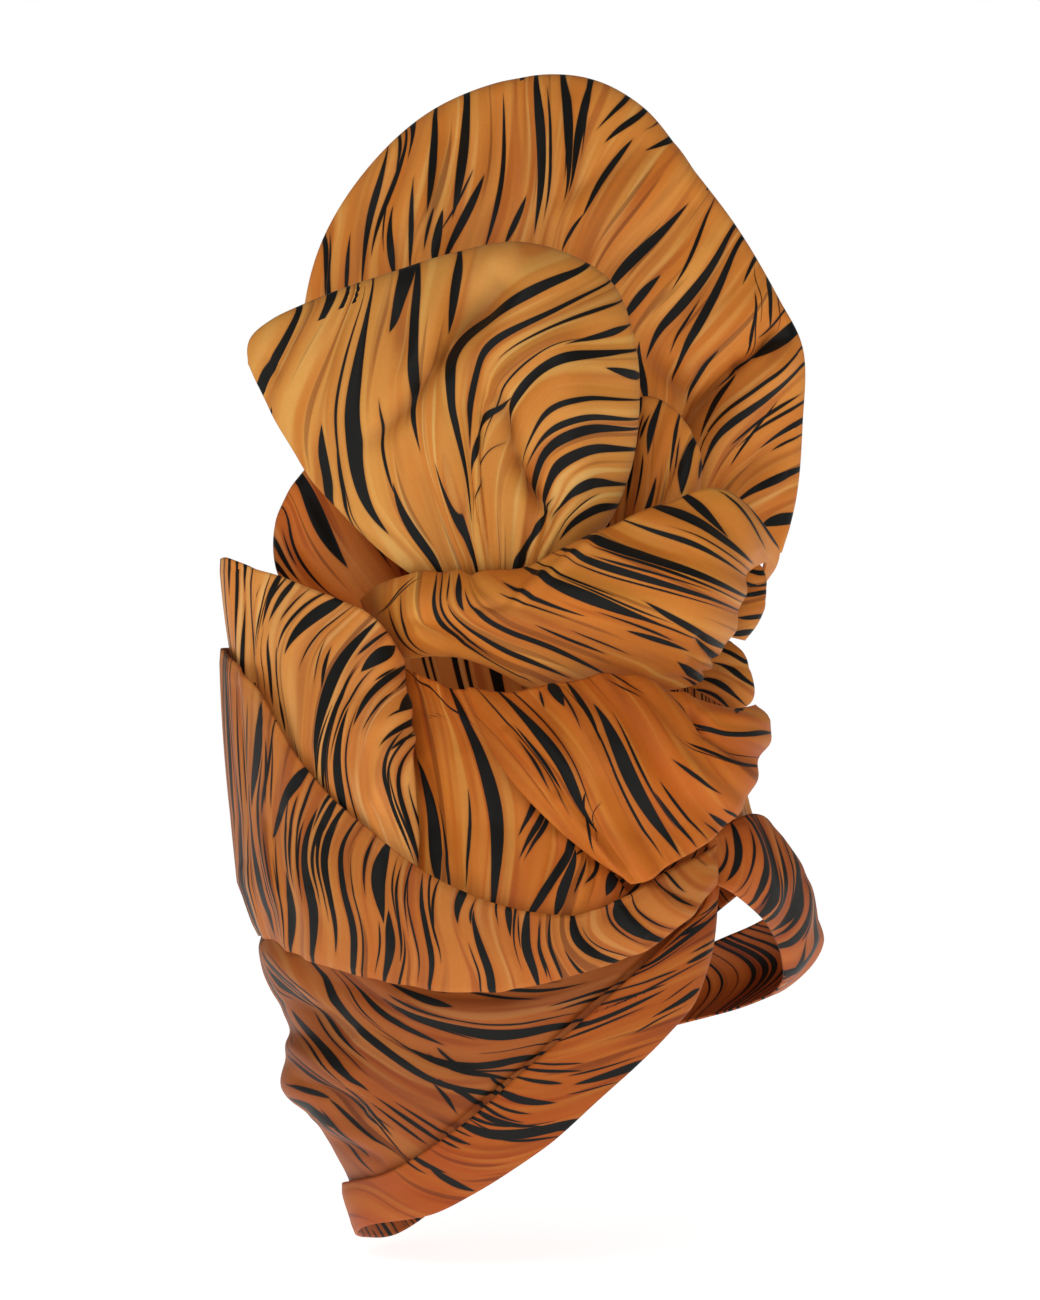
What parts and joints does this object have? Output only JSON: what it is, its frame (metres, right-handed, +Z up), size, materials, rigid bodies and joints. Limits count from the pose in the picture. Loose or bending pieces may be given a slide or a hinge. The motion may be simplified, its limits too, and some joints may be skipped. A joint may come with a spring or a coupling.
{
  "type": "turban headwrap",
  "caption": "Worn turban headwrap in striped cloth: open cap with sewn hem, wide band, crown pleats, wrapped knot and tall standing bow loops.",
  "frame": {"origin": "crown of the wearer's head, where the wrap sits, under the knot", "axes": "+Z up along the wearer's head, the wearer faces -Y, +X is the wearer's left"},
  "size_m": [0.184, 0.2122, 0.4121],
  "materials": {
    "back_loop": "soft woven cloth, satin",
    "front_loop": "soft woven cloth, satin",
    "side_loop": "soft woven cloth, satin",
    "knot_wrap": "soft woven cloth, satin",
    "upper_tuck": "soft woven cloth, satin",
    "side_tuck": "soft woven cloth, satin",
    "lower_tuck": "soft woven cloth, satin",
    "side_pleat": "soft woven cloth, satin",
    "centre_pleat": "soft woven cloth, satin",
    "cross_pleat": "soft woven cloth, satin",
    "front_band": "soft woven cloth, satin",
    "far_roll": "soft woven cloth, satin",
    "cap": "soft woven cloth, satin",
    "hem": "soft woven cloth, satin"
  },
  "bodies": {
    "root": {"back_loop": "back_loop", "front_loop": "front_loop", "side_loop": "side_loop", "knot_wrap": "knot_wrap", "upper_tuck": "upper_tuck", "side_tuck": "side_tuck", "lower_tuck": "lower_tuck", "side_pleat": "side_pleat", "centre_pleat": "centre_pleat", "cross_pleat": "cross_pleat", "front_band": "front_band", "far_roll": "far_roll", "cap": "cap", "hem": "hem"}
  },
  "joints": []
}
